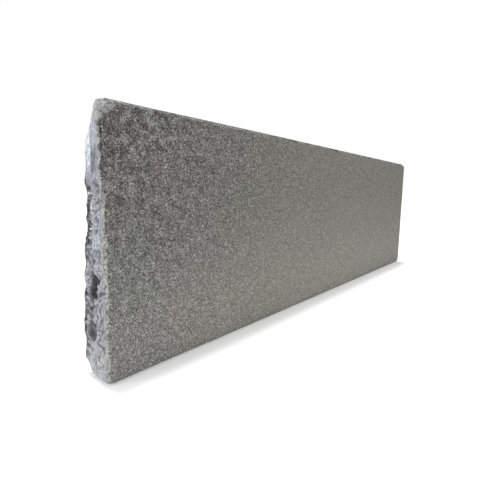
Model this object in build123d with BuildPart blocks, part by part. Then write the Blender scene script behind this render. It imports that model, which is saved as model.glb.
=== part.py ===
"""A kerb stone: one block of dense grey stone that stands on its long bed edge.

The origin is the middle of the bed. X runs along the kerb from the hewn end to the sawn end,
the exposed face looks along -Y, and Z is up. All lengths are in millimetres.
"""

import math
import os
from typing import NamedTuple

from build123d import *


class ChipRow(NamedTuple):
    """Round chips along one edge of the block."""

    pitch: float
    radius: float
    depths: tuple[float, float]


class Scar(NamedTuple):
    """A round bowl that a blow left in the hewn end."""

    across: float  # from the middle of the thickness, towards the rear face
    up: float  # from the bed
    width: float
    depth: float


class Nick(NamedTuple):
    """A small bite out of the upright edge between the exposed face and the hewn end."""

    up: float
    radius: float
    depth: float


class Knock(NamedTuple):
    """A corner of the hewn end knocked off by one large blow."""

    side: Vector
    level: Vector
    outward: Vector
    radius: float
    depth: float


# Directions out of the block
HEWNWARD = Vector(-1, 0, 0)
SAWNWARD = Vector(1, 0, 0)
FRONTWARD = Vector(0, -1, 0)
REARWARD = Vector(0, 1, 0)
UPWARD = Vector(0, 0, 1)
DOWNWARD = Vector(0, 0, -1)

# The squared block
LENGTH = 1000.0
HEIGHT = 300.0
THICKNESS = 50.0

# Corners of the face outline, worn round in handling
SAWN_CORNER_RADIUS = 18.0
HEWN_HEAD_RADIUS = 15.0
HEWN_FOOT_RADIUS = 14.0

# Edges between two faces, rubbed dull all round
ARRIS_RADIUS = 3.0

# The hewn end leans back towards the rear face, most at the head
LEAN_AT_FOOT = 1.5
LEAN_AT_HEAD = 15.0

# Corners knocked off the hewn end: in front and behind at the head, and behind at the foot
KNOCKS = (
    Knock(FRONTWARD, UPWARD, outward=Vector(-0.55, -0.7, 0.45), radius=48.0, depth=11.0),
    Knock(REARWARD, UPWARD, outward=Vector(-0.85, 0.41, 0.27), radius=400.0, depth=24.0),
    Knock(REARWARD, DOWNWARD, outward=Vector(-0.75, 0.45, -0.5), radius=60.0, depth=14.0),
)

# Chisel bites down the two upright edges of the hewn end
FRONT_BITES = ChipRow(pitch=23.0, radius=15.0, depths=(0.9, 2.2))
REAR_BITES = ChipRow(pitch=29.0, radius=27.0, depths=(1.2, 2.6))

# Wear and knocks along the four long edges
BROAD_CHIPS = ChipRow(pitch=120.0, radius=180.0, depths=(1.4, 3.2))
SMALL_CHIPS = ChipRow(pitch=76.0, radius=38.0, depths=(1.4, 3.4))

# Where a chip may lie in its own stretch of an edge, and its turn from the edge's one side to the other
CHIP_PLACES = (0.2, 0.8)
CHIP_TURNS = (0.35, 0.65)

# Broad shallow scars over the hewn end, from the head down to the foot
SCARS = (
    Scar(across=-4.0, up=268.0, width=44.0, depth=2.5),
    Scar(across=11.0, up=238.0, width=42.0, depth=2.0),
    Scar(across=-10.0, up=243.0, width=50.0, depth=3.0),
    Scar(across=15.0, up=203.0, width=31.0, depth=5.0),
    Scar(across=-12.0, up=203.0, width=40.0, depth=2.4),
    Scar(across=-13.0, up=180.0, width=38.0, depth=2.6),
    Scar(across=14.0, up=186.0, width=30.0, depth=4.6),
    Scar(across=15.0, up=168.0, width=32.0, depth=5.0),
    Scar(across=14.0, up=153.0, width=22.0, depth=4.0),
    Scar(across=-11.0, up=138.0, width=24.0, depth=4.0),
    Scar(across=9.0, up=130.0, width=38.0, depth=3.0),
    Scar(across=-14.0, up=122.0, width=34.0, depth=2.6),
    Scar(across=-15.0, up=100.0, width=24.0, depth=2.6),
    Scar(across=8.0, up=79.0, width=30.0, depth=3.0),
    Scar(across=-10.0, up=74.0, width=36.0, depth=2.8),
    Scar(across=-11.0, up=48.0, width=36.0, depth=3.0),
    Scar(across=14.0, up=30.0, width=34.0, depth=2.6),
    Scar(across=-6.0, up=20.0, width=44.0, depth=3.4),
)

# Pits where lumps came away, each of two bowls that run together
PITS = (
    Scar(across=1.0, up=110.0, width=19.0, depth=9.0),
    Scar(across=4.0, up=97.0, width=15.0, depth=8.0),
    Scar(across=-22.0, up=105.0, width=7.0, depth=3.0),
    Scar(across=-22.0, up=98.0, width=7.0, depth=3.0),
    Scar(across=6.0, up=60.0, width=15.0, depth=6.0),
    Scar(across=9.0, up=48.0, width=15.0, depth=6.0),
)
NICKS = (
    Nick(up=277.0, radius=6.5, depth=3.6),
    Nick(up=252.0, radius=6.0, depth=4.0),
    Nick(up=242.0, radius=8.0, depth=4.2),
    Nick(up=231.0, radius=6.0, depth=3.4),
    Nick(up=102.0, radius=12.0, depth=4.6),
)

# Steps of the golden section never repeat, so they spread sizes as unevenly as handwork
GOLDEN = (math.sqrt(5.0) - 1.0) / 2.0


def uneven(step: int, low: float, high: float) -> float:
    """A value between low and high for one step along a row."""
    return low + (high - low) * (step * GOLDEN % 1.0)


def corner(end: Vector, side: Vector, level: Vector) -> Vector:
    """The corner of the squared block that lies furthest along three directions."""
    middle = Vector(0, 0, HEIGHT / 2)
    return middle + end * (LENGTH / 2) + side * (THICKNESS / 2) + level * (HEIGHT / 2)


def hewn_plane(across: float, up: float) -> Plane:
    """The plane that touches the leaning end at one of its points and looks outwards."""
    rearness = across / THICKNESS + 0.5
    rise = (LEAN_AT_HEAD - LEAN_AT_FOOT) / HEIGHT
    lean = LEAN_AT_FOOT + rise * up
    point = Vector(-LENGTH / 2 + rearness * lean, across, up)
    return Plane(point, x_dir=(0, -1, 0), z_dir=(-1, lean / THICKNESS, rearness * rise))


def knock_off(point: Vector, outward: Vector, radius: float, depth: float) -> None:
    """Knock a round chip off the current part, with its deepest place under a point."""
    with Locations(point + outward.normalized() * (radius - depth)):
        Sphere(radius, mode=Mode.SUBTRACT)


def chip_edge(start: Vector, end: Vector, sides: tuple[Vector, Vector], row: ChipRow, seed: int) -> None:
    """Knock a row of round chips off the edge between two sides of the current part."""
    run = end - start
    count = round(run.length / row.pitch)
    centres = []
    for n in range(count):
        along = (n + uneven(n + seed, *CHIP_PLACES)) / count
        lie = uneven(n + 2 * seed, *CHIP_TURNS)
        outward = (sides[0] * lie + sides[1] * (1 - lie)).normalized()
        reach = row.radius - uneven(2 * n + seed, *row.depths)
        centres.append(start + run * along + outward * reach)
    with Locations(*centres):
        Sphere(row.radius, mode=Mode.SUBTRACT)


with BuildPart() as kerb_stone:
    # The face outline, with its four worn corners
    with BuildSketch(Plane.XZ) as outline:
        Rectangle(LENGTH, HEIGHT, align=(Align.CENTER, Align.MIN))
        fillet(outline.vertices().group_by(Axis.X)[-1], SAWN_CORNER_RADIUS)
        fillet(outline.vertices().group_by(Axis.X)[0].sort_by(Axis.Y)[0], HEWN_FOOT_RADIUS)
        fillet(outline.vertices().group_by(Axis.X)[0].sort_by(Axis.Y)[-1], HEWN_HEAD_RADIUS)
    extrude(amount=THICKNESS / 2, both=True)

    # Both rims of the outline, rubbed dull
    rims = kerb_stone.edges().group_by(Axis.Y)
    fillet(rims[0] + rims[-1], ARRIS_RADIUS)

    # The hewn end's lean, as a wedge that widens from foot to head
    for level, lean in ((0.0, LEAN_AT_FOOT), (HEIGHT, LEAN_AT_HEAD)):
        with BuildSketch(Plane.XY.offset(level).move(Location((-LENGTH / 2, THICKNESS / 2)))):
            with BuildLine():
                Polyline((0, -THICKNESS), (lean, 0), (-lean, 0), close=True)
            make_face()
    loft(mode=Mode.SUBTRACT)

    # Corners knocked off, and the scars and pits of smaller blows
    for knock in KNOCKS:
        knock_off(corner(HEWNWARD, knock.side, knock.level), knock.outward, knock.radius, knock.depth)
    for scar in SCARS + PITS:
        radius = (scar.width**2 / 4 + scar.depth**2) / (2 * scar.depth)
        surface = hewn_plane(scar.across, scar.up)
        knock_off(surface.origin, surface.z_dir, radius, scar.depth)

    # Nicks and chisel bites down the hewn end's upright edges
    for nick in NICKS:
        front_edge = hewn_plane(-THICKNESS / 2, nick.up).origin
        knock_off(front_edge, HEWNWARD + FRONTWARD, nick.radius, nick.depth)
    for side, row in ((FRONTWARD, FRONT_BITES), (REARWARD, REAR_BITES)):
        foot = hewn_plane(side.Y * THICKNESS / 2, 0.0).origin
        head = hewn_plane(side.Y * THICKNESS / 2, HEIGHT).origin
        chip_edge(foot, head, (HEWNWARD, side), row, seed=1)

    # Chips along the long edges at the bed and at the top
    for n, (side, level) in enumerate((s, l) for s in (FRONTWARD, REARWARD) for l in (DOWNWARD, UPWARD)):
        start, end = corner(HEWNWARD, side, level), corner(SAWNWARD, side, level)
        chip_edge(start, end, (side, level), BROAD_CHIPS, seed=n)
        chip_edge(start, end, (side, level), SMALL_CHIPS, seed=n)

kerb_stone.part.label = "kerb_stone"
os.makedirs("parts", exist_ok=True)
export_step(kerb_stone.part, "parts/kerb_stone.step")
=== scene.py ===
"""Dress the kerb stone: its relief and finish, the studio round it, and the camera.

Lengths are in metres, in the part's own frame: X runs along the kerb from the hewn end to the
sawn end, the exposed face looks along -Y, and Z is up from the bed.
"""

import logging
import math
from dataclasses import dataclass, field
from enum import Enum
from typing import Any

import bpy
import numpy as np
from mathutils import Matrix, Vector


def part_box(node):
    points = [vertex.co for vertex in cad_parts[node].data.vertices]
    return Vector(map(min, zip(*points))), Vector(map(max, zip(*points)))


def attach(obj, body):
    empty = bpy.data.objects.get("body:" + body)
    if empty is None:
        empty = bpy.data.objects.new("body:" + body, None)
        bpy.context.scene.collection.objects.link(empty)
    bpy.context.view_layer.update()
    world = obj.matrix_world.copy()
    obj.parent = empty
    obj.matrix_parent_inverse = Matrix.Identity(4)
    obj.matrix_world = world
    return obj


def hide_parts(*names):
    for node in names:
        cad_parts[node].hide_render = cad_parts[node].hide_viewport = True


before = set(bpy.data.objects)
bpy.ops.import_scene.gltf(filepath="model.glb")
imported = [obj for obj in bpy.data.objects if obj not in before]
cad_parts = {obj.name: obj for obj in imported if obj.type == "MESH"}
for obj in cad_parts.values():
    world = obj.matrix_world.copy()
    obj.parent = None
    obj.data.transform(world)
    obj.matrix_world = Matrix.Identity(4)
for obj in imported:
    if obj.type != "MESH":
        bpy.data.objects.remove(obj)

log = logging.getLogger("kerb")

Colour = tuple[float, float, float]
Place = tuple[float, float, float]

# A pair of values between which something comes in or changes
Span = tuple[float, float]

WHITE: Colour = (1.0, 1.0, 1.0)
BLACK: Colour = (0.0, 0.0, 0.0)

# The part's one solid, the plane of its exposed face, and how far a mark there reaches round an edge
SOLID = "kerb_stone"
FACE_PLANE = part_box(SOLID)[0].y
MARK_DEPTH = 0.006


def smoothstep(low: float, high: float, value: np.ndarray) -> np.ndarray:
    """Rise smoothly from 0 at low to 1 at high, or fall if low is the higher."""
    t = np.clip((value - low) / (high - low), 0.0, 1.0)
    return t * t * (3.0 - 2.0 * t)


def fade(first: float, last: float, span: Span, value: np.ndarray) -> np.ndarray:
    """Change smoothly from first to last while the value goes through a span."""
    return first + (last - first) * smoothstep(*span, value)


def select_only(piece: bpy.types.Object) -> None:
    """Make one object the active and only selected one.

    Args:
        piece: the object.
    """
    bpy.ops.object.select_all(action="DESELECT")
    piece.select_set(True)
    bpy.context.view_layer.objects.active = piece


def vertex_array(mesh: bpy.types.Mesh, name: str = "co") -> np.ndarray:
    """Read a three-number property of every vertex.

    Args:
        mesh: the mesh to read.
        name: the vertex property, co or normal.

    Returns:
        An array with one row for each vertex.
    """
    values = np.empty(len(mesh.vertices) * 3, np.float32)
    mesh.vertices.foreach_get(name, values)
    return values.reshape(-1, 3).astype(float)


def store(mesh: bpy.types.Mesh, name: str, values: np.ndarray) -> None:
    """Store a number for every vertex as an attribute."""
    attribute = mesh.attributes.new(name, "FLOAT", "POINT")
    attribute.data.foreach_set("value", values.astype(np.float32))


class Pattern(Enum):
    """The patterns that relief is worked from, each a kind of texture and its noise."""

    ROLLING = ("CLOUDS", "IMPROVED_PERLIN")
    GRAINY = ("CLOUDS", "BLENDER_ORIGINAL")
    KNOCKED = ("CLOUDS", "VORONOI_F2_F1")
    PITTED = ("CLOUDS", "VORONOI_F1")
    CRAGGY = ("MUSGRAVE", "BLENDER_ORIGINAL")
    CURLED = ("DISTORTED_NOISE", "IMPROVED_PERLIN")


@dataclass(frozen=True)
class Relief:
    """One layer of relief, cut into the surface and never raised from it."""

    name: str
    pattern: Pattern
    size: float
    depth: float
    where: str
    along: str = "NORMAL"
    octaves: int = 1
    crag_strength: float = 0.6
    curl_twist: float = 2.2

    def texture(self) -> bpy.types.Texture:
        """Make the pattern that the layer is worked from.

        Returns:
            The texture.
        """
        kind, basis = self.pattern.value
        texture = bpy.data.textures.new(self.name, kind)
        texture.noise_scale = self.size
        texture.noise_basis = basis
        if kind == "CLOUDS":
            texture.noise_depth = self.octaves
        elif kind == "MUSGRAVE":
            texture.musgrave_type = "RIDGED_MULTIFRACTAL"
            texture.octaves = self.octaves
            texture.noise_intensity = self.crag_strength
        else:
            texture.noise_distortion = "BLENDER_ORIGINAL"
            texture.distortion = self.curl_twist
        return texture

    def cut(self, piece: bpy.types.Object) -> None:
        """Work the layer into a piece.

        Args:
            piece: the mesh object, with a vertex group for the region.
        """
        modifier = piece.modifiers.new(self.name, "DISPLACE")
        modifier.texture = self.texture()
        modifier.texture_coords = "LOCAL"
        modifier.vertex_group = "cut " + self.where
        modifier.direction = self.along
        inward = -1.0 if self.along == "NORMAL" else 1.0
        modifier.strength = inward * self.depth
        modifier.mid_level = 0.0
        select_only(piece)
        bpy.ops.object.modifier_apply(modifier=modifier.name)


class Shade:
    """A shader socket on which Python's operators add Math nodes."""

    def __init__(self, tree: bpy.types.NodeTree, socket: bpy.types.NodeSocket) -> None:
        """Wrap an output socket of a tree."""
        self.tree = tree
        self.socket = socket

    def math(self, operation: str, *others: Any, clamp: bool = False) -> "Shade":
        """Add one Math node.

        Args:
            operation: the node's operation.
            others: the second and third operands, each a Shade or a number.
            clamp: keep the result between 0 and 1.

        Returns:
            The node's result.
        """
        node = self.tree.nodes.new("ShaderNodeMath")
        node.operation = operation
        node.use_clamp = clamp
        for slot, value in zip(node.inputs, (self, *others)):
            plug(self.tree, slot, value)
        return Shade(self.tree, node.outputs[0])

    def __add__(self, other: Any) -> "Shade":
        """Add."""
        return self.math("ADD", other)

    def __sub__(self, other: Any) -> "Shade":
        """Subtract."""
        return self.math("SUBTRACT", other)

    def __rsub__(self, other: float) -> "Shade":
        """Subtract from a number."""
        return self * -1.0 + other

    def __mul__(self, other: Any) -> "Shade":
        """Multiply."""
        return self.math("MULTIPLY", other)

    def clamped(self) -> "Shade":
        """Keep the value between 0 and 1."""
        return self.math("ADD", 0.0, clamp=True)

    def between(self, first: float, last: float) -> "Shade":
        """Change from first to last while the value goes from 0 to 1."""
        return self * (last - first) + first

    def swing(self, depth: Any = 1.0) -> "Shade":
        """Let noise that lies round 0.5 swing round 0, by a depth from its lowest to its highest."""
        return (self - 0.5) * depth

    def step(self, low: float, high: float) -> "Shade":
        """Rise smoothly from 0 at low to 1 at high, or fall if low is the higher.

        Args:
            low: the value that gives 0.
            high: the value that gives 1.

        Returns:
            The risen value.
        """
        node = self.tree.nodes.new("ShaderNodeMapRange")
        node.interpolation_type = "SMOOTHSTEP"
        for name, value in (("Value", self), ("From Min", low), ("From Max", high)):
            plug(self.tree, node.inputs[name], value)
        return Shade(self.tree, node.outputs[0])


def plug(tree: bpy.types.NodeTree, slot: bpy.types.NodeSocket, value: Any) -> None:
    """Link a Shade to an input socket, or set a plain value on it.

    Args:
        tree: the node tree.
        slot: the input socket.
        value: a Shade, a number, or a colour or place of three numbers.
    """
    if isinstance(value, Shade):
        tree.links.new(value.socket, slot)
    elif slot.type == "RGBA":
        slot.default_value = (*value, 1.0)
    else:
        slot.default_value = value


@dataclass(frozen=True)
class Mottle:
    """A noise pattern: the size of its features, and how detailed, rough and twisted they are."""

    size: float
    detail: float = 3.0
    rough: float = 0.6
    twist: float = 0.0


class Palette:
    """A material or a sky under construction: its node tree, and one method that makes any node."""

    def __init__(self, owner: bpy.types.Material | bpy.types.World) -> None:
        """Start with an empty tree.

        Args:
            owner: the material or the sky.
        """
        owner.use_nodes = True
        self.owner = owner
        self.tree = owner.node_tree
        self.tree.nodes.clear()

    def node(self, kind: str, settings: dict[str, Any], inputs: dict[Any, Any], output: Any = 0) -> Shade:
        """Add a node.

        Args:
            kind: the node's type, without its ShaderNode prefix.
            settings: the node's own properties, set before its inputs.
            inputs: a value or Shade for each named or numbered input socket.
            output: the name or number of the output socket to return.

        Returns:
            The chosen output.
        """
        node = self.tree.nodes.new("ShaderNode" + kind)
        for key, value in settings.items():
            setattr(node, key, value)
        for key, value in inputs.items():
            plug(self.tree, node.inputs[key], value)
        return Shade(self.tree, node.outputs[output])

    def place(self) -> Shade:
        """The place on the object, in metres."""
        return self.node("TexCoord", {}, {}, "Object")

    def axis(self, letter: str) -> Shade:
        """The place on the object along one axis, in metres."""
        return self.node("SeparateXYZ", {}, {"Vector": self.place()}, letter)

    def attribute(self, name: str) -> Shade:
        """A number stored on the mesh's vertices."""
        return self.node("Attribute", {"attribute_name": name}, {}, "Fac")

    def noise(self, mottle: Mottle) -> Shade:
        """Spread smooth noise over the object.

        Args:
            mottle: the pattern of the noise.

        Returns:
            The noise, round 0.5.
        """
        inputs = {"Vector": self.place(), "Scale": 1.0 / mottle.size, "Detail": mottle.detail}
        look = {"Roughness": mottle.rough, "Distortion": mottle.twist}
        return self.node("TexNoise", {}, {**inputs, **look}, "Fac")

    def cells(self, size: float) -> Shade:
        """Fill the stone with cells, each of which has a number of its own.

        Args:
            size: about how wide a cell is.

        Returns:
            The cell's number, from 0 to 1.
        """
        inputs = {"Vector": self.place(), "Scale": 1.0 / size, "Randomness": 1.0}
        colour = self.node("TexVoronoi", {"feature": "F1"}, inputs, "Color")
        return self.node("SeparateColor", {}, {"Color": colour}, "Red")

    def mix(self, share: Any, first: Any, second: Any, blend: str = "MIX") -> Shade:
        """Mix two colours.

        Args:
            share: how much of the second, from 0 to 1.
            first: a Shade or a colour.
            second: a Shade or a colour.
            blend: the blend type.

        Returns:
            The mixed colour.
        """
        node = self.tree.nodes.new("ShaderNodeMix")
        node.data_type = "RGBA"
        node.blend_type = blend
        for number, value in ((0, share), (6, first), (7, second)):
            plug(self.tree, node.inputs[number], value)
        return Shade(self.tree, node.outputs[2])

    def scale(self, colour: Shade, red: Shade, green: Shade, blue: Shade) -> Shade:
        """Multiply each channel of a colour by a number of its own."""
        channels = self.node("CombineColor", {}, {"Red": red, "Green": green, "Blue": blue})
        return self.mix(1.0, colour, channels, "MULTIPLY")

    def finish(self, shader: Shade, kind: str = "OutputMaterial") -> bpy.types.Material | bpy.types.World:
        """Close the tree with its surface shader.

        Args:
            shader: the surface shader.
            kind: the output node's type, without its ShaderNode prefix.

        Returns:
            The finished material or sky.
        """
        output = self.tree.nodes.new("ShaderNode" + kind)
        self.tree.links.new(shader.socket, output.inputs["Surface"])
        return self.owner


@dataclass(frozen=True)
class Patch:
    """A stretch of the stone with a tone laid on it, which is the stone's own on some patches and painted
    light or shade on others: a ragged oval, endless along an axis of reach 0.
    """

    name: str
    middle: Place
    reach: Place
    tone: Colour
    share: float = 0.85
    border: Span = (1.2, 0.75)

    @classmethod
    def on_end(cls, name: str, across: float, up: float, wide: float, high: float, *look: Any) -> "Patch":
        """Place a patch on the hewn end."""
        return cls(name, (0.0, across, up), (0.0, wide, high), *look)

    @classmethod
    def on_arris(cls, name: str, along: float, up: float, wide: float, high: float, *look: Any) -> "Patch":
        """Place a patch on the exposed face and just round its edge."""
        return cls(name, (along, FACE_PLANE, up), (wide, MARK_DEPTH, high), *look)

    def lay(self, paint: Palette, colour: Shade | Colour, ragged: Shade) -> Shade:
        """Lay the patch over a colour.

        Args:
            paint: the material under construction.
            colour: the colour so far.
            ragged: noise round 0 that breaks up the border.

        Returns:
            The colour with the patch.
        """
        away = paint.node("VectorMath", {"operation": "SUBTRACT"}, {0: paint.place(), 1: self.middle})
        scale = tuple(1.0 / length if length else 0.0 for length in self.reach)
        scaled = paint.node("VectorMath", {"operation": "MULTIPLY"}, {0: away, 1: scale})
        out = paint.node("VectorMath", {"operation": "LENGTH"}, {0: scaled}, "Value")
        laid = paint.mix((out + ragged).step(*self.border) * self.share, colour, self.tone)
        laid.socket.node.label = self.name
        return laid


@dataclass(frozen=True)
class DressedFace:
    """The speckled colour of the dressed faces: dark and light crystals in a warm grey ground."""

    ground: Colour = (0.156, 0.150, 0.134)
    warm: Colour = (0.180, 0.152, 0.136)
    green: Colour = (0.146, 0.156, 0.130)
    dark_crystal: Colour = (0.026, 0.025, 0.024)
    light_crystal: Colour = (0.44, 0.43, 0.41)
    glint: Colour = (0.72, 0.71, 0.69)
    # A pale tone, partly dust and partly painted light, laid towards the bed and away from the hewn end
    dust_and_light: Colour = (0.212, 0.204, 0.182)

    # The crystals, and the patterns that gather and tint them
    crystal_size: float = 0.00115
    clusters: Mottle = Mottle(0.0022, detail=2.0)
    blotches: Mottle = Mottle(0.012)
    warm_drift: Mottle = Mottle(0.055, detail=2.0, rough=0.5)
    green_drift: Mottle = Mottle(0.083, detail=2.0, rough=0.5)
    clustering: float = 0.26

    # The values of a pattern between which each tone comes in
    warm_from: Span = (0.50, 0.68)
    green_from: Span = (0.52, 0.70)
    dark_from: Span = (0.50, 0.18)
    light_from: Span = (0.56, 0.92)
    glint_from: Span = (0.985, 0.991)

    # How strong each is: first far away or low down, then near the hewn end or high up
    blotching: Span = (0.2, 1.0)
    glinting: Span = (0.15, 0.45)
    blue_gain: Span = (0.95, 1.0)

    # Painted light: the gain from the darker top down to the paler bed, and the shares of a pale tone of dust
    # and painted light at the bed and far away
    painted_light_gain: Span = (0.72, 1.27)
    dust_and_light_at_bed: float = 0.30
    dust_and_light_far_away: float = 0.20

    def colour(self, paint: Palette, near: Shade, high: Shade) -> Shade:
        """Make the colour.

        Args:
            paint: the material under construction.
            near: 1 at the hewn end, falling to 0 further along the stone.
            high: 0 at the bed, rising to 1 at the top.

        Returns:
            The colour.
        """
        ground = paint.mix(paint.noise(self.warm_drift).step(*self.warm_from), self.ground, self.warm)
        ground = paint.mix(paint.noise(self.green_drift).step(*self.green_from), ground, self.green)
        lot = paint.cells(self.crystal_size)
        blotch = paint.noise(self.blotches).swing((near * high).between(*self.blotching))
        gathered = lot * (1.0 - self.clustering) + paint.noise(self.clusters) * self.clustering
        chance = gathered + blotch
        colour = paint.mix(chance.step(*self.dark_from), ground, self.dark_crystal)
        colour = paint.mix(chance.step(*self.light_from), colour, self.light_crystal)
        # Painted light: the face darkens towards the top and pales towards the bed and away from the hewn
        # end, partly as dust
        low = 1.0 - high
        painted_light_gain = (low * low).between(*self.painted_light_gain)
        colour = paint.scale(colour, painted_light_gain, painted_light_gain, painted_light_gain * near.between(*self.blue_gain))
        dust_and_light_share = low * self.dust_and_light_at_bed + (1.0 - near) * self.dust_and_light_far_away
        colour = paint.mix(dust_and_light_share, colour, self.dust_and_light)
        return paint.mix(lot.step(*self.glint_from) * near.between(*self.glinting), colour, self.glint)


@dataclass(frozen=True)
class FreshBreak:
    """The bluish colour of the broken end, with painted shade in its hollows and creases, and painted light
    on its bright facets and glitter.
    """

    body: Colour = (0.285, 0.290, 0.308)
    dark: Colour = (0.060, 0.063, 0.072)
    light: Colour = (0.62, 0.64, 0.68)
    glitter: Colour = (0.90, 0.92, 0.96)

    # The patterns of the break
    swirls: Mottle = Mottle(0.009, detail=4.0, rough=0.62, twist=1.6)
    flecks: Mottle = Mottle(0.0022, rough=0.65)
    frays: Mottle = Mottle(0.007)
    fraying: float = 1.1
    fleck_contrast: float = 2.4

    # The values of a pattern between which each tone comes in
    dark_from: Span = (0.50, 0.34)
    light_from: Span = (0.54, 0.68)
    glitter_from: Span = (0.56, 0.62)

    # The share of each tone where it lies
    dark_share: float = 0.85
    light_share: float = 0.6
    curl_share: float = 0.40
    # Shares of painted shade in the crevices and of a painted highlight on the ridges
    crevice_share: float = 0.6
    ridge_share: float = 0.35

    glittering: Patch = Patch.on_end("glitter", 0.020, 0.182, 0.010, 0.032, WHITE, 1.0)
    patches: tuple[Patch, ...] = (
        Patch.on_end("corner facet", -0.022, 0.294, 0.022, 0.013, (0.26, 0.25, 0.245), 0.95),
        # Painted light: a brightly lit facet of the head
        Patch.on_end("white facet", 0.015, 0.252, 0.010, 0.023, (0.72, 0.75, 0.81), 0.95),
        Patch.on_end("blue facet", -0.003, 0.268, 0.011, 0.018, (0.37, 0.40, 0.465)),
        # Painted shade in a crease of the head
        Patch.on_end("crease", -0.001, 0.236, 0.007, 0.015, (0.08, 0.085, 0.11), 0.95),
        Patch.on_end("bulge", 0.008, 0.219, 0.018, 0.008, (0.19, 0.20, 0.25), 0.9),
        # Painted shade under the ledge
        Patch.on_end("under the ledge", -0.003, 0.202, 0.014, 0.010, (0.20, 0.20, 0.205)),
        # Painted shade in the rear groove
        Patch.on_end("rear groove", 0.020, 0.176, 0.010, 0.027, (0.030, 0.030, 0.035), 0.9),
        Patch.on_end("lavender flat", -0.009, 0.173, 0.010, 0.016, (0.33, 0.33, 0.41)),
        # A painted highlight in a ring round a chip, and painted shade in its middle
        Patch.on_end("swirl", 0.000, 0.152, 0.011, 0.006, (0.55, 0.59, 0.67)),
        Patch.on_end("heart of the swirl", -0.003, 0.154, 0.003, 0.002, (0.08, 0.08, 0.11)),
        Patch.on_end("pale block", -0.016, 0.153, 0.008, 0.008, (0.44, 0.47, 0.52)),
        Patch.on_end("wedge", -0.014, 0.143, 0.012, 0.003, (0.08, 0.08, 0.105)),
        Patch.on_end("grey block", 0.018, 0.138, 0.009, 0.009, (0.17, 0.175, 0.20)),
        Patch.on_end("mottled stretch", 0.015, 0.073, 0.009, 0.013, (0.09, 0.095, 0.095), 0.8),
        Patch.on_end("blue flat", -0.005, 0.047, 0.009, 0.011, (0.36, 0.38, 0.43), 0.7),
        Patch.on_end("foot", -0.004, 0.020, 0.020, 0.018, (0.46, 0.475, 0.48), 0.8),
    )
    # Painted shade in the pits of the break
    pits: tuple[Patch, ...] = (
        Patch.on_end("upper pit", 0.006, 0.107, 0.007, 0.012, (0.012, 0.015, 0.015), 0.95),
        Patch.on_end("tail of the upper pit", 0.010, 0.094, 0.005, 0.010, (0.02, 0.025, 0.025), 0.9),
        Patch.on_end("lower pit", 0.011, 0.052, 0.007, 0.011, (0.05, 0.055, 0.06), 0.75),
    )

    def colour(self, paint: Palette, curls: Shade, crevice: Shade) -> Shade:
        """Make the colour.

        Args:
            paint: the material under construction.
            curls: 1 on the curled creases of the break.
            crevice: 1 in the crevices of the break, and -1 on its ridges.

        Returns:
            The colour.
        """
        swirl = paint.noise(self.swirls)
        fleck = paint.noise(self.flecks)
        ragged = paint.noise(self.frays).swing(self.fraying)
        # Dark and pale swirls: the break's own tones, partly painted shade and light for its curls
        tone = paint.mix(swirl.step(*self.dark_from) * self.dark_share, self.body, self.dark)
        for patch in self.patches:
            tone = patch.lay(paint, tone, ragged)
        tone = paint.mix(swirl.step(*self.light_from) * self.light_share, tone, self.light)
        # Painted shade in the curled creases of the break
        tone = paint.mix(curls * self.curl_share, tone, self.dark)
        groove = self.glittering.lay(paint, BLACK, ragged)
        tone = paint.mix(fleck.step(*self.glitter_from) * groove, tone, self.glitter)
        speck = fleck.swing(self.fleck_contrast) + 1.0
        tone = paint.scale(tone, speck, speck, speck)
        # Painted shade in the crevices of the break, and a painted highlight on its ridges
        tone = paint.mix((crevice * self.crevice_share).clamped(), tone, self.dark)
        tone = paint.mix((crevice * -self.ridge_share).clamped(), tone, self.light)
        for pit in self.pits:
            tone = pit.lay(paint, tone, ragged)
        return tone


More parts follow.
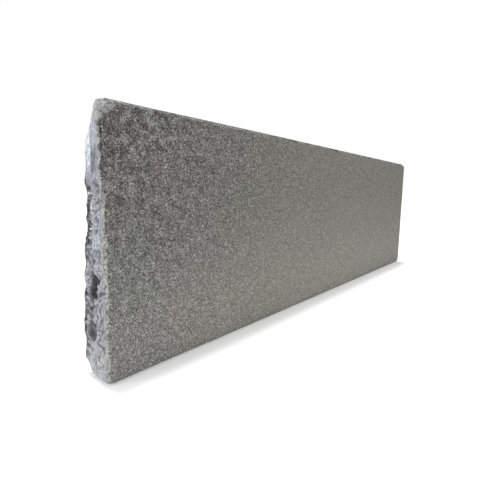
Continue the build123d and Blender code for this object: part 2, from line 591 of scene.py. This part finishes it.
@dataclass(frozen=True)
class StoneFinish:
    """The whole stone's finish: dressed faces, bruised edges and rim with a painted highlight along the
    edges, and a freshly broken end.
    """

    face: DressedFace = DressedFace()
    broken_end: FreshBreak = FreshBreak()
    # Pale tone of the bruised edges and rim, which also paints a highlight along the edges
    bruise_and_highlight: Colour = (0.51, 0.515, 0.485)
    shade: Colour = (0.03, 0.03, 0.032)

    # Where the stone counts as near the hewn end, and where as high up
    near_along: Span = (-0.15, -0.48)
    high_up: Span = (0.0, 0.28)

    # Pale bruises of the edges, partly a painted highlight along the arrises, scattered more thickly near the
    # hewn end
    bruise_and_highlight_spots: Mottle = Mottle(0.005)
    bruise_and_highlight_from: Span = (0.34, 0.54)
    bruise_and_highlight_share: Span = (0.45, 0.90)

    # The curled creases of the break, and how high they stand in the fine grain
    creases: Mottle = Mottle(0.010, detail=2.0, rough=0.5, twist=1.5)
    creases_from: Span = (0.12, 0.02)
    crease_height: float = 0.9

    # The rim of the break, with a scalloped border, and knocks on the face beside it
    scallops: Mottle = Mottle(0.010)
    scalloping: float = 3.0
    rim_from: Span = (0.25, 0.80)
    rim_share: Span = (0.9, 0.4)
    rim_reach: Span = (0.0, 0.25)
    knock_reach: float = 0.45

    # The shares of painted shade in the crevices of the faces, and of painted shade in all hollows
    crevice_share: float = 0.8
    hollow_share: float = 0.85

    # The fine grain, and the roughness from the faces to the break
    grain: Mottle = Mottle(0.00161, rough=0.7)
    grain_strength: float = 0.55
    grain_depth: float = 0.0007
    roughness: Span = (0.88, 0.46)
    roughness_swing: float = 0.3

    # Marks down the edge of the exposed face, with painted shade in its bites, and how much their borders
    # fray
    fraying: float = 1.5
    marks: tuple[Patch, ...] = (
        Patch.on_arris("end of the head ridge", -0.484, 0.2905, 0.0035, 0.0024, (0.36, 0.355, 0.34), 0.6),
        Patch.on_arris("middle of the head ridge", -0.4895, 0.2865, 0.0040, 0.0026, (0.36, 0.355, 0.34), 0.7),
        Patch.on_arris("root of the head ridge", -0.4950, 0.2820, 0.0040, 0.0028, (0.38, 0.38, 0.36), 0.7),
        # Painted shade in the bites of the arris
        Patch.on_arris("first bite", -0.4955, 0.274, 0.0026, 0.0048, (0.035, 0.035, 0.037), 0.7),
        Patch.on_arris("second bite", -0.4955, 0.251, 0.0026, 0.0048, (0.035, 0.035, 0.037), 0.8),
        Patch.on_arris("third bite", -0.4930, 0.240, 0.0018, 0.0060, (0.035, 0.035, 0.037), 0.6),
        Patch.on_arris("fourth bite", -0.4955, 0.231, 0.0026, 0.0040, (0.035, 0.035, 0.037), 0.8),
    )

    def bruise_rim(self, paint: Palette, colour: Shade, close: Shade, curls: Shade) -> Shade:
        """Bruise the rim of the break, and the face beside it.

        Args:
            paint: the material under construction.
            colour: the colour so far.
            close: 1 at the top of the hewn end, falling to 0 further along and down.
            curls: 1 on the curled creases of the break.

        Returns:
            The colour with the bruises.
        """
        rim = paint.attribute("rim")
        scallop = paint.noise(self.scallops).swing(self.scalloping)
        ragged_rim = (rim + scallop).step(*self.rim_from) * curls.between(*self.rim_share)
        reach = (rim.step(*self.rim_reach) + close * self.knock_reach).clamped()
        return paint.mix(ragged_rim * reach, colour, self.bruise_and_highlight)

    def material(self) -> bpy.types.Material:
        """Make the stone's material.

        Returns:
            The material.
        """
        paint = Palette(bpy.data.materials.new("stone"))
        hewn = paint.attribute("end")
        crevice = paint.attribute("crevice")
        near = paint.axis("X").step(*self.near_along)
        high = paint.axis("Z").step(*self.high_up)
        patchy = paint.noise(self.bruise_and_highlight_spots)
        curls = paint.noise(self.creases).swing().math("ABSOLUTE").step(*self.creases_from)

        colour = self.face.colour(paint, near, high)
        # Pale bruises along the edges, partly wear and partly a painted highlight on the arrises
        edge_bruise_and_highlight = paint.attribute("edges") * patchy.step(*self.bruise_and_highlight_from) * near.between(*self.bruise_and_highlight_share)
        colour = paint.mix(edge_bruise_and_highlight.clamped(), colour, self.bruise_and_highlight)
        colour = paint.mix(hewn, colour, self.broken_end.colour(paint, curls, crevice))
        colour = self.bruise_rim(paint, colour, near * high, curls)
        # Painted shade in the crevices of the faces
        crevice_shade = (crevice * (1.0 - hewn) * self.crevice_share).clamped()
        colour = paint.mix(crevice_shade, colour, self.broken_end.dark)
        for mark in self.marks:
            colour = mark.lay(paint, colour, patchy.swing(self.fraying))
        hollow = (paint.attribute("hollow") * self.hollow_share).clamped()
        colour = paint.mix(hollow, colour, self.shade)

        grain = paint.noise(self.grain)
        relief = {"Height": grain - curls * (hewn * self.crease_height), "Strength": self.grain_strength}
        bump = paint.node("Bump", {}, {**relief, "Distance": self.grain_depth})
        rough = hewn.between(*self.roughness) + grain.swing(self.roughness_swing)
        surface = {"Base Color": colour, "Roughness": rough.clamped(), "Normal": bump}
        return paint.finish(paint.node("BsdfPrincipled", {}, surface))


@dataclass
class KerbStone:
    """The whole stone, as one closed mesh worked up from the part's own solid."""

    node: str = SOLID

    # The mesh: its merging distance, the width of its quads, its wanted count of triangles, and
    # the angle in degrees up to which it is shaded smooth
    merge: float = 1e-6
    voxel: float = 0.0014
    triangles: int = 190_000
    smooth_angle: float = 60.0

    # How far the fine mesh and the broken end reach along the stone
    fine_reach: float = 0.055
    broken_along: Span = (0.030, 0.0225)

    # How near an arris the wear comes in, and the rim's reach along the face and into the break,
    # with the shares of that reach between which it comes in
    arris: Span = (0.0048, 0.0015)
    rim_width: float = 0.0095
    rim_depth: float = 0.0050
    rim: Span = (1.0, 0.6)

    # Where the relief changes: in from a face, up the break, and along the stone
    skin: Span = (0.0002, 0.0018)
    foot: Span = (0.005, 0.045)
    ledge: Span = (0.208, 0.226)
    rim_taper: Span = (0.200, 0.222)
    coarse_face: Span = (0.05, 0.30)
    hard_worn: Span = (0.10, 0.40)

    # The shares that are kept there of the relief, and of the rim's width at the head
    foot_relief: float = 0.35
    head_relief: float = 0.25
    head_rim: float = 0.5
    far_face_relief: float = 0.35
    near_arris_relief: float = 0.55

    # How many rounds of averaging show a hollow or a crevice, with the depth that shows in full,
    # and where along the stone the crevices come in
    hollow: tuple[int, float] = (24, 0.0022)
    crevice: tuple[int, float] = (6, 0.0005)
    crevices_along: Span = (0.033, 0.022)

    finish: StoneFinish = field(default_factory=StoneFinish)
    reliefs: tuple[Relief, ...] = (
        Relief("sweep of the face", Pattern.ROLLING, 0.09, 0.0006, "faces"),
        Relief("tooled dimples", Pattern.PITTED, 0.009, 0.0004, "faces"),
        Relief("grain of the face", Pattern.GRAINY, 0.004, 0.0006, "faces", octaves=2),
        Relief("dips of the arris", Pattern.ROLLING, 0.026, 0.0042, "edges"),
        Relief("bites between burrs", Pattern.KNOCKED, 0.030, 0.0075, "edges"),
        Relief("knocked arris", Pattern.KNOCKED, 0.011, 0.0028, "edges"),
        Relief("scallops of the rim", Pattern.KNOCKED, 0.009, 0.0026, "rim"),
        Relief("crags of the break", Pattern.CRAGGY, 0.022, 0.0045, "crumbled", "X", octaves=2),
        Relief("curls of the break", Pattern.CURLED, 0.015, 0.0023, "crumbled", "X"),
        Relief("lumps of the break", Pattern.GRAINY, 0.013, 0.0016, "crumbled", "X"),
        Relief("splinters of the break", Pattern.GRAINY, 0.005, 0.0007, "end", "X", octaves=2),
    )

    def copy_block(self) -> bpy.types.Object:
        """Copy the part's solid into a merged, closed mesh of even quads.

        Returns:
            The mesh object.
        """
        block = bpy.data.objects.new("stone_block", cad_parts[self.node].data.copy())
        block.data.materials.clear()
        bpy.context.scene.collection.objects.link(block)
        select_only(block)
        bpy.ops.object.mode_set(mode="EDIT")
        bpy.ops.mesh.select_all(action="SELECT")
        bpy.ops.mesh.remove_doubles(threshold=self.merge)
        bpy.ops.object.mode_set(mode="OBJECT")
        remesh = block.modifiers.new("even quads", "REMESH")
        remesh.mode = "VOXEL"
        remesh.voxel_size = self.voxel
        bpy.ops.object.modifier_apply(modifier=remesh.name)
        return block

    def mark_regions(self, block: bpy.types.Object) -> None:
        """Weigh every vertex by the region that it lies in, for the relief and for the finish.

        Args:
            block: the stone's mesh object.
        """
        low, high = (np.array(corner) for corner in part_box(self.node))
        place = vertex_array(block.data)
        up = place[:, 2]
        along = place[:, 0] - low[0]
        to_front = place[:, 1] - low[1]
        to_sides = np.minimum(to_front, high[1] - place[:, 1])
        to_levels = np.minimum(up - low[2], high[2] - up)
        to_sawn = high[0] - place[:, 0]

        end = smoothstep(*self.skin, np.minimum(to_sides, to_levels)) * smoothstep(*self.broken_along, along)
        crumbled = end * fade(1.0, self.head_relief, self.ledge, up)
        crumbled *= fade(self.foot_relief, 1.0, self.foot, up)
        to_arris = np.sort(np.stack([to_sides, to_levels, to_sawn]), axis=0)[1]
        edges = smoothstep(*self.arris, to_arris)
        edges *= fade(self.near_arris_relief, 1.0, self.hard_worn, along)
        faces = (1.0 - end) * fade(1.0, self.far_face_relief, self.coarse_face, along)
        wide_rim = self.rim_width * fade(1.0, self.head_rim, self.rim_taper, up)
        rim = smoothstep(*self.rim, np.hypot(along / wide_rim, to_front / self.rim_depth))

        weights = {"end": end, "crumbled": crumbled, "edges": edges, "faces": faces, "rim": rim}
        for name, values in weights.items():
            store(block.data, name, values)
            self.group(block, "cut " + name, values)

    def group(self, block: bpy.types.Object, name: str, weights: np.ndarray, levels: int = 24) -> None:
        """Store weights as a vertex group.

        Args:
            block: the stone's mesh object.
            name: the group's name.
            weights: a weight for each vertex, from 0 to 1.
            levels: how many steps the weights are rounded to.
        """
        group = block.vertex_groups.new(name=name)
        rounded = np.round(weights * levels).astype(int)
        for level in range(1, levels + 1):
            chosen = np.nonzero(rounded == level)[0].tolist()
            if chosen:
                group.add(chosen, level / levels, "REPLACE")

    def thin(self, block: bpy.types.Object) -> None:
        """Thin the mesh away from the hewn end, down to the wanted count of triangles.

        A quad makes two triangles, and a mesh of quads has about as many of them as vertices.

        Args:
            block: the stone's mesh object.
        """
        mesh = block.data
        far = vertex_array(mesh)[:, 0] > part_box(self.node)[0][0] + self.fine_reach
        near_count = 2 * int(np.count_nonzero(~far))
        count = 2 * len(mesh.polygons)
        log.info("before thinning: %d triangles, %d of them near the hewn end", count, near_count)
        select_only(block)
        bpy.ops.object.mode_set(mode="EDIT")
        bpy.ops.mesh.select_mode(type="VERT")
        bpy.ops.mesh.select_all(action="DESELECT")
        bpy.ops.object.mode_set(mode="OBJECT")
        mesh.vertices.foreach_set("select", far)
        bpy.ops.object.mode_set(mode="EDIT")
        bpy.ops.mesh.decimate(ratio=(self.triangles - near_count) / (count - near_count))
        bpy.ops.mesh.select_all(action="SELECT")
        bpy.ops.mesh.normals_make_consistent(inside=False)
        bpy.ops.object.mode_set(mode="OBJECT")

    def carve(self, block: bpy.types.Object) -> None:
        """Cut every layer of relief, then thin the mesh where it is plain.

        Args:
            block: the stone's mesh object.
        """
        self.mark_regions(block)
        for relief in self.reliefs:
            relief.cut(block)
        block.vertex_groups.clear()
        self.thin(block)
        bpy.ops.object.shade_smooth_by_angle(angle=math.radians(self.smooth_angle))

    def sunken(self, mesh: bpy.types.Mesh, rounds: int, full: float) -> np.ndarray:
        """Find how deep each vertex lies in a hollow of its surroundings.

        Args:
            mesh: the stone's mesh.
            rounds: how many times each place goes halfway to the mean of its neighbours.
            full: the depth that counts as 1.

        Returns:
            A depth for each vertex, from -1 on a ridge to 1 in a hollow.
        """
        place = vertex_array(mesh)
        normal = vertex_array(mesh, "normal")
        ends = np.empty(len(mesh.edges) * 2, np.int32)
        mesh.edges.foreach_get("vertices", ends)
        one, two = ends.reshape(-1, 2).T
        valence = np.bincount(ends, minlength=len(place))
        average = place.copy()
        for _ in range(rounds):
            for values in average.T:
                total = np.bincount(one, values[two], len(place)) + np.bincount(two, values[one], len(place))
                values[:] = (values + total / valence) / 2.0
        depth = np.einsum("ij,ij->i", average - place, normal)
        return np.clip(depth / full, -1.0, 1.0)

    def dress(self, block: bpy.types.Object) -> None:
        """Mark the hollows and the finer crevices, and put the finish on.

        Args:
            block: the stone's mesh object.
        """
        mesh = block.data
        along = vertex_array(mesh)[:, 0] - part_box(self.node)[0][0]
        store(mesh, "hollow", self.sunken(mesh, *self.hollow))
        store(mesh, "crevice", self.sunken(mesh, *self.crevice) * smoothstep(*self.crevices_along, along))
        mesh.materials.append(self.finish.material())

    def build(self) -> bpy.types.Object:
        """Make the stone and tie it to the part.

        Returns:
            The finished mesh object.
        """
        block = self.copy_block()
        log.info("remeshed block: %d faces", len(block.data.polygons))
        self.carve(block)
        self.dress(block)
        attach(block, "root")
        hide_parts(self.node)
        block.data.calc_loop_triangles()
        log.info("%s: %d triangles", block.name, len(block.data.loop_triangles))
        return block


@dataclass(frozen=True)
class SoftLight:
    """A large square lamp that looks at the stone."""

    name: str
    place: Place
    width: float
    watts: float
    aim: Place = (0.0, 0.0, 0.12)
    colour: Colour = WHITE

    def build(self) -> bpy.types.Object:
        """Make the lamp.

        Returns:
            The lamp.
        """
        data = bpy.data.lights.new(self.name, "AREA")
        data.size = self.width
        data.energy = self.watts
        data.color = self.colour
        lamp = bpy.data.objects.new(self.name, data)
        lamp.location = self.place
        lamp.rotation_euler = (Vector(self.aim) - Vector(self.place)).to_track_quat("-Z", "Y").to_euler()
        bpy.context.scene.collection.objects.link(lamp)
        return lamp


@dataclass(frozen=True)
class HighLight:
    """A distant lamp high overhead, which leaves a narrow shadow in front of the stone."""

    way: Place = (-0.02, -0.095, -1.0)
    spread: float = 6.5
    strength: float = 1.9

    def build(self) -> bpy.types.Object:
        """Make the lamp.

        Returns:
            The lamp.
        """
        data = bpy.data.lights.new("overhead", "SUN")
        data.angle = math.radians(self.spread)
        data.energy = self.strength
        lamp = bpy.data.objects.new("overhead", data)
        lamp.rotation_euler = Vector(self.way).to_track_quat("-Z", "Y").to_euler()
        bpy.context.scene.collection.objects.link(lamp)
        return lamp


@dataclass
class Studio:
    """A pale floor and backdrop, soft light and the camera."""

    floor_width: float = 60.0
    floor_colour: Colour = (0.80, 0.80, 0.80)
    floor_glow: float = 0.25
    sky_strength: float = 0.60
    lamps: tuple[SoftLight | HighLight, ...] = (
        HighLight(),
        SoftLight("front", (0.1, -0.95, 0.08), 0.6, 4.5, aim=(0.0, 0.0, 0.05)),
        SoftLight("left", (-1.7, 0.25, 0.75), 0.8, 10.5, aim=(-0.5, 0.0, 0.15), colour=(0.93, 0.96, 1.0)),
    )

    # The camera: its focal length against the photograph's width, its place, and its turns in degrees
    frame_pixels: float = 480.0
    focal_pixels: float = 361.88
    sensor: float = 36.0
    nearest: float = 0.01
    eye: Place = (-0.6849, -0.3622, 0.2078)
    yaw: float = 50.154
    pitch: float = 7.407
    roll: float = 0.748

    def build_floor(self) -> None:
        """Lay the floor that shows white and keeps the stone's shadow."""
        bpy.ops.object.select_all(action="DESELECT")
        bpy.ops.mesh.primitive_plane_add(size=self.floor_width, location=(0.0, 0.0, 0.0))
        floor = bpy.context.object
        floor.name = "floor"
        paint = Palette(bpy.data.materials.new("pale_floor"))
        matt = paint.node("BsdfDiffuse", {}, {"Color": self.floor_colour})
        seen = paint.node("LightPath", {}, {}, "Is Camera Ray")
        glow = paint.node("Emission", {}, {"Color": WHITE, "Strength": seen * self.floor_glow})
        both = paint.node("AddShader", {}, {0: matt, 1: glow})
        floor.data.materials.append(paint.finish(both))

    def build_sky(self) -> None:
        """Light everything from a pale sky that the camera and any gloss see as white."""
        paint = Palette(bpy.data.worlds.new("pale_sky"))
        glossy = paint.node("LightPath", {}, {}, "Is Glossy Ray")
        seen = paint.node("LightPath", {}, {}, "Is Camera Ray").math("MAXIMUM", glossy)
        glow = {"Color": WHITE, "Strength": seen.between(self.sky_strength, 1.0)}
        bpy.context.scene.world = paint.finish(paint.node("Background", {}, glow), "OutputWorld")

    def build_camera(self) -> None:
        """Set up the camera where the photograph was taken from."""
        yaw, pitch, roll = (math.radians(angle) for angle in (self.yaw, self.pitch, self.roll))
        ahead = Vector((math.sin(yaw) * math.cos(pitch), math.cos(yaw) * math.cos(pitch), -math.sin(pitch)))
        level = ahead.cross(Vector((0.0, 0.0, 1.0))).normalized()
        upright = level.cross(ahead)
        right = math.cos(roll) * level + math.sin(roll) * upright
        up = -math.sin(roll) * level + math.cos(roll) * upright
        data = bpy.data.cameras.new("camera")
        data.sensor_width = self.sensor
        data.lens = self.sensor * self.focal_pixels / self.frame_pixels
        data.clip_start = self.nearest
        camera = bpy.data.objects.new("camera", data)
        turn = Matrix((right, up, -ahead)).transposed()
        camera.matrix_world = Matrix.Translation(Vector(self.eye)) @ turn.to_4x4()
        bpy.context.scene.collection.objects.link(camera)
        bpy.context.scene.camera = camera

    def build(self) -> None:
        """Make the whole studio."""
        self.build_camera()
        self.build_floor()
        self.build_sky()
        for lamp in self.lamps:
            lamp.build()
        bpy.context.scene.view_settings.view_transform = "Standard"


def main() -> None:
    """Build the studio and the stone."""
    logging.basicConfig(level=logging.INFO, format="%(message)s")
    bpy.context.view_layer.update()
    Studio().build()
    log.info("studio: floor, sky, lamps and camera")
    KerbStone().build()


if __name__ == "__main__":
    main()
